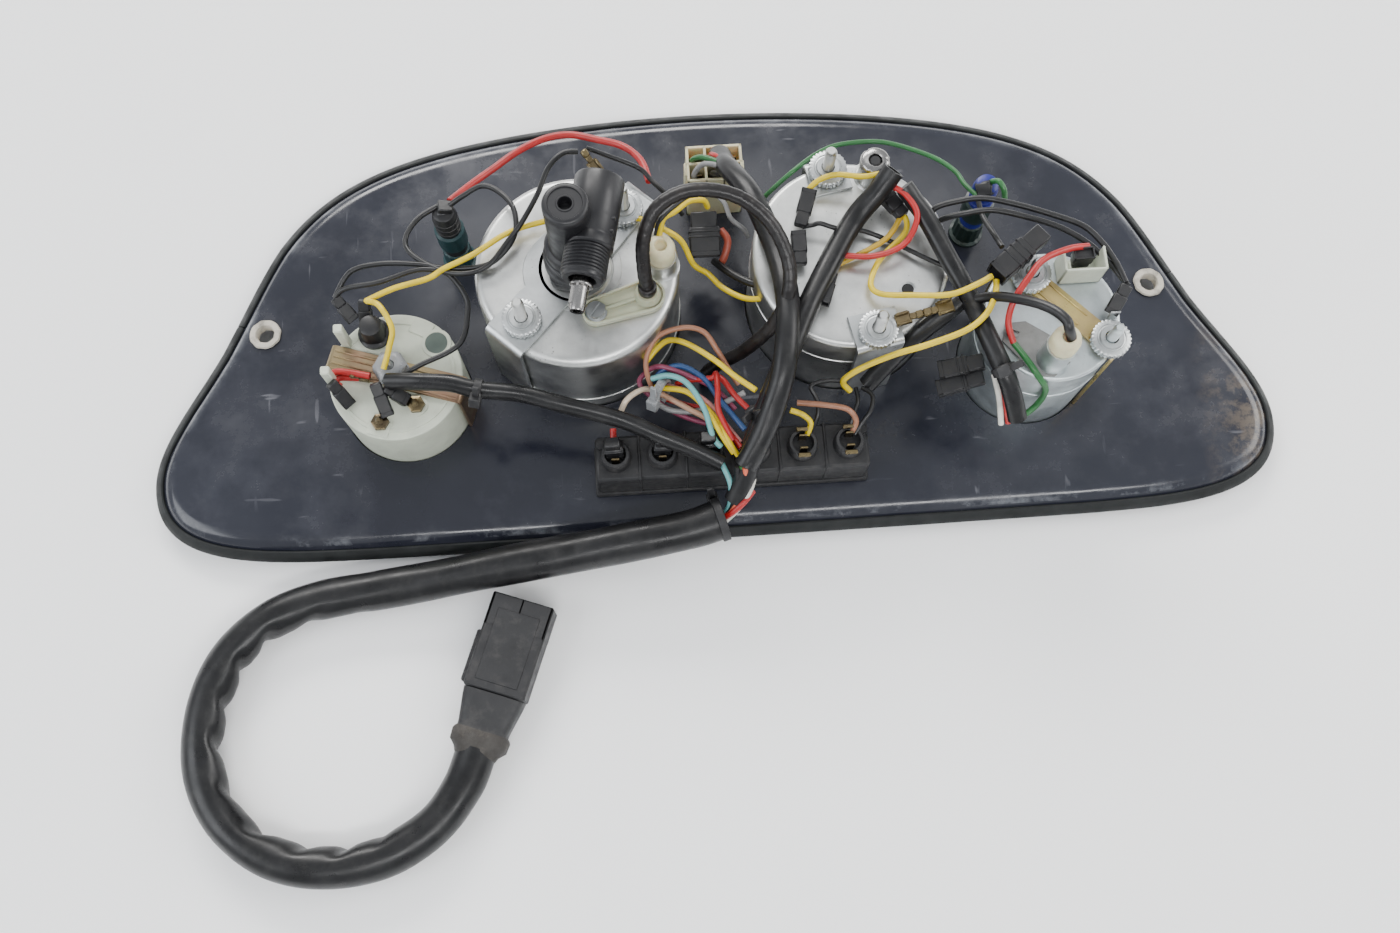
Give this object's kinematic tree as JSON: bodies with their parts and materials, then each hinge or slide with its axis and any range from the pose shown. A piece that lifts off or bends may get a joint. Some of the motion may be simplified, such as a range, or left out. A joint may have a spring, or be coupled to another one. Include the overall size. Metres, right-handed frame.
{
  "type": "motorcycle instrument cluster",
  "caption": "Fairing instrument panel seen from its wiring side: shell with speedometer, tachometer, clock, voltmeter, warning lamps, hazard switch and a harness tail with plug.",
  "frame": {"origin": "middle of the panel outline, on the surface that the bezels stand on", "axes": "+X along the panel, +Y towards its arched top edge, +Z out of the wiring side; the dials look towards -Z"},
  "size_m": [0.482, 0.331, 0.122],
  "materials": {
    "shell": "moulded, blue-black satin, scuffed and dusty",
    "trim_rubber": "extruded black rubber, dull",
    "grommet_rubber": "perished pale rubber, cracked",
    "zinc": "bright zinc plate with a fine spangle and specks",
    "dull_zinc": "bluish zinc plate",
    "steel": "turned steel",
    "gold_zinc": "yellow passivated strap",
    "bezel_black": "black enamel, satin",
    "drive_black": "black enamel over a casting",
    "dial_black": "flat black with white printing",
    "pointer_orange": "matt orange",
    "hand_white": "matt white",
    "clear_glass": "clear, flat",
    "lens_dark": "smoked plastic with coloured windows",
    "cream_plastic": "moulded, cream",
    "white_plastic": "moulded, greenish white",
    "clear_plastic": "translucent nylon",
    "black_plastic": "moulded, black",
    "old_rubber": "grey-brown moulded rubber boot",
    "sleeve_black": "black vinyl sleeving, satin",
    "hose_brown": "brown-black rubber hose",
    "terminal_brass": "brass blade terminal, tarnished",
    "wire_insulation": "vinyl wire insulation in several colours"
  },
  "bodies": {
    "cluster": {"panel_shell": "shell", "edge_trim_upper": "trim_rubber", "edge_trim_lower": "trim_rubber", "mount_grommet_left": "grommet_rubber", "mount_grommet_right": "grommet_rubber", "speedo_can": "zinc", "speedo_bezel": "bezel_black", "speedo_glass": "clear_glass", "speedo_dial": "dial_black", "speedo_clamp": "zinc", "speedo_nut_lower": "zinc", "speedo_nut_upper": "zinc", "speedo_drive_nut": "drive_black", "speedo_drive_housing": "drive_black", "trip_reset_arm": "cream_plastic", "speedo_lamp_holder": "cream_plastic", "trip_reset_hose": "hose_brown", "tacho_can": "zinc", "tacho_bezel": "bezel_black", "tacho_glass": "clear_glass", "tacho_dial": "dial_black", "tacho_bracket_upper": "zinc", "tacho_bracket_lower": "zinc", "tacho_nut_lower": "zinc", "tacho_nut_upper": "zinc", "tacho_lamp_holder": "steel", "clock_case": "white_plastic", "clock_bezel": "bezel_black", "clock_glass": "clear_glass", "clock_dial": "dial_black", "clock_clamp": "gold_zinc", "clock_nut": "clear_plastic", "clock_lamp_holder": "black_plastic", "voltmeter_can": "dull_zinc", "voltmeter_bezel": "bezel_black", "voltmeter_glass": "clear_glass", "voltmeter_dial": "dial_black", "voltmeter_clamp": "gold_zinc", "voltmeter_nut_upper": "zinc", "voltmeter_nut_lower": "zinc", "voltmeter_lamp_holder": "cream_plastic", "voltmeter_terminal_shield": "white_plastic", "warning_lamp_housing": "black_plastic", "warning_lamp_lens": "lens_dark", "pilot_lamp_left": "black_plastic", "pilot_lamp_right": "black_plastic", "hazard_switch_body": "cream_plastic", "harness_main": "sleeve_black", "tail_sleeve": "sleeve_black", "tail_boot": "old_rubber", "tail_plug": "black_plastic"},
    "speedo_needle": {"speedo_pointer": "pointer_orange"},
    "odometer_drums": {"speedo_odometer": "dial_black"},
    "cable_shaft": {"speedo_drive_shaft": "steel"},
    "reset_knob": {"trip_reset_knob": "black_plastic"},
    "tacho_needle": {"tacho_pointer": "pointer_orange"},
    "volt_needle": {"voltmeter_pointer": "pointer_orange"},
    "clock_minute": {"clock_minute_hand": "hand_white"},
    "clock_hour": {"clock_hour_hand": "hand_white"},
    "hazard_rocker": {"hazard_switch_rocker": "black_plastic"}
  },
  "joints": [
    {"name": "speedo_pointer_turn", "type": "hinge", "parent": "cluster", "child": "speedo_needle", "pos_m": [-0.0554, 0.0012, 0.0066], "axis": [0, 0, 1], "range_deg": [0, 270], "stiffness_Nm_per_rad": 0.00002},
    {"name": "tacho_pointer_turn", "type": "hinge", "parent": "cluster", "child": "tacho_needle", "pos_m": [0.0554, 0.0012, 0.0066], "axis": [0, 0, 1], "range_deg": [0, 270], "stiffness_Nm_per_rad": 0.00002},
    {"name": "volt_pointer_turn", "type": "hinge", "parent": "cluster", "child": "volt_needle", "pos_m": [0.1318, -0.0324, 0.0066], "axis": [0, 0, 1], "range_deg": [0, 90], "stiffness_Nm_per_rad": 0.00002},
    {"name": "clock_minute_turn", "type": "hinge", "parent": "cluster", "child": "clock_minute", "pos_m": [-0.1318, -0.0324, 0.0066], "axis": [0, 0, 1], "continuous": true},
    {"name": "clock_hour_turn", "type": "hinge", "parent": "cluster", "child": "clock_hour", "pos_m": [-0.1318, -0.0324, 0.0078], "axis": [0, 0, 1], "continuous": true},
    {"name": "cable_shaft_spin", "type": "hinge", "parent": "cluster", "child": "cable_shaft", "pos_m": [-0.04709, -0.00057, 0.103], "axis": [-0.2079, -0.9781, 0], "continuous": true},
    {"name": "odometer_turn", "type": "hinge", "parent": "cluster", "child": "odometer_drums", "pos_m": [-0.0554, -0.0138, 0.0157], "axis": [1, 0, 0], "continuous": true},
    {"name": "reset_knob_turn", "type": "hinge", "parent": "cluster", "child": "reset_knob", "pos_m": [-0.005, -0.032, 0.0086], "axis": [0, 0, 1], "continuous": true},
    {"name": "hazard_rocker_tilt", "type": "hinge", "parent": "cluster", "child": "hazard_rocker", "pos_m": [0.0044, 0.0552, 0.009], "axis": [1, 0, 0], "range_deg": [-7, 7]}
  ],
  "couplings": [
    {"joint": "clock_hour_turn", "follows": "clock_minute_turn", "ratio": 0.083333},
    {"joint": "odometer_turn", "follows": "cable_shaft_spin", "ratio": 0.001}
  ]
}
